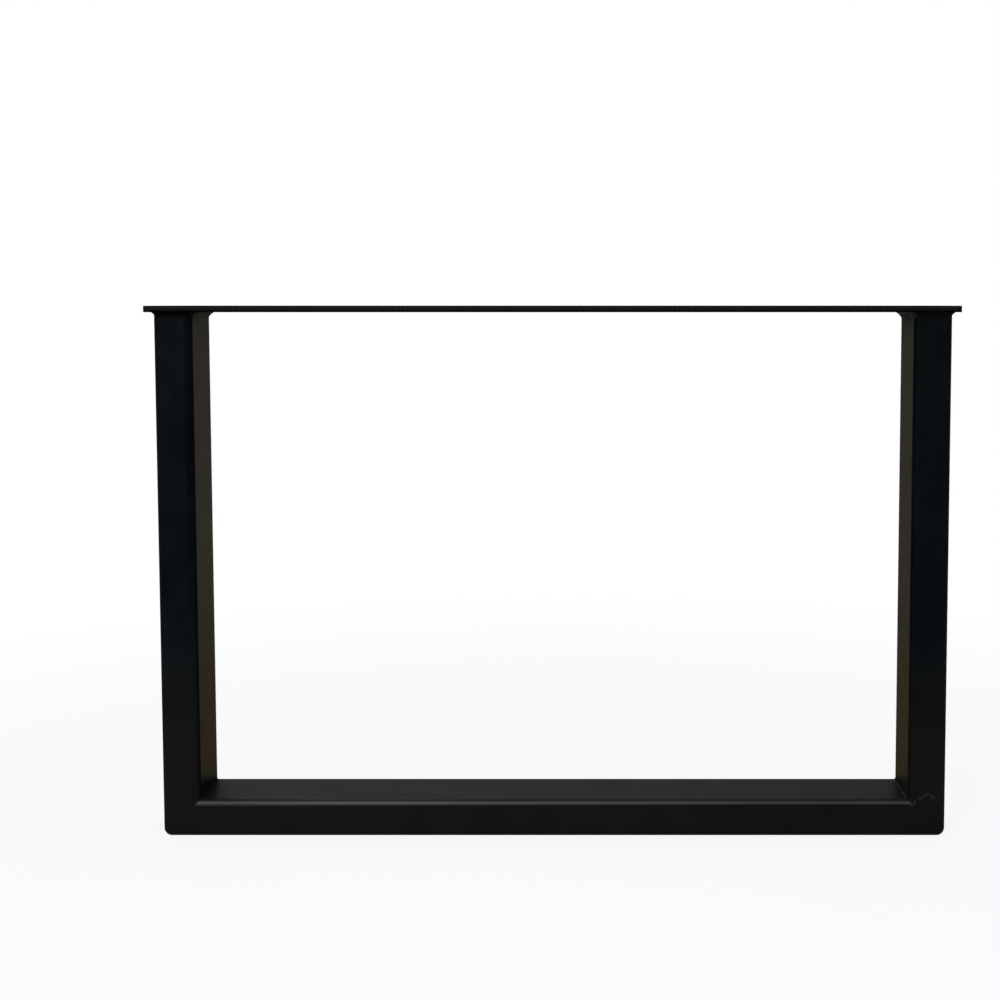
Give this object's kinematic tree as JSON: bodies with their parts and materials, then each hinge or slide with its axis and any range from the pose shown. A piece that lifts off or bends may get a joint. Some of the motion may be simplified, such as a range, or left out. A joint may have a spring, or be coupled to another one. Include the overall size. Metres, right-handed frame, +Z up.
{
  "type": "u-shaped table leg",
  "caption": "U-shaped table leg of mitred rectangular steel tube, welded under a flat drilled mounting plate and powder coated satin black.",
  "frame": {"origin": "on the floor, midway along the bottom rail and midway front to back", "axes": "+X along the leg's width, -Y towards the front, +Z up to the mounting plate"},
  "size_m": [0.63, 0.08, 0.42],
  "materials": {
    "powder_coat": "satin black powder coat"
  },
  "bodies": {
    "root": {"mounting_plate": "powder_coat", "bottom_rail": "powder_coat", "left_upright": "powder_coat", "right_upright": "powder_coat", "left_plate_weld": "powder_coat", "right_plate_weld": "powder_coat", "left_corner_weld": "powder_coat", "right_corner_weld": "powder_coat"}
  },
  "joints": []
}
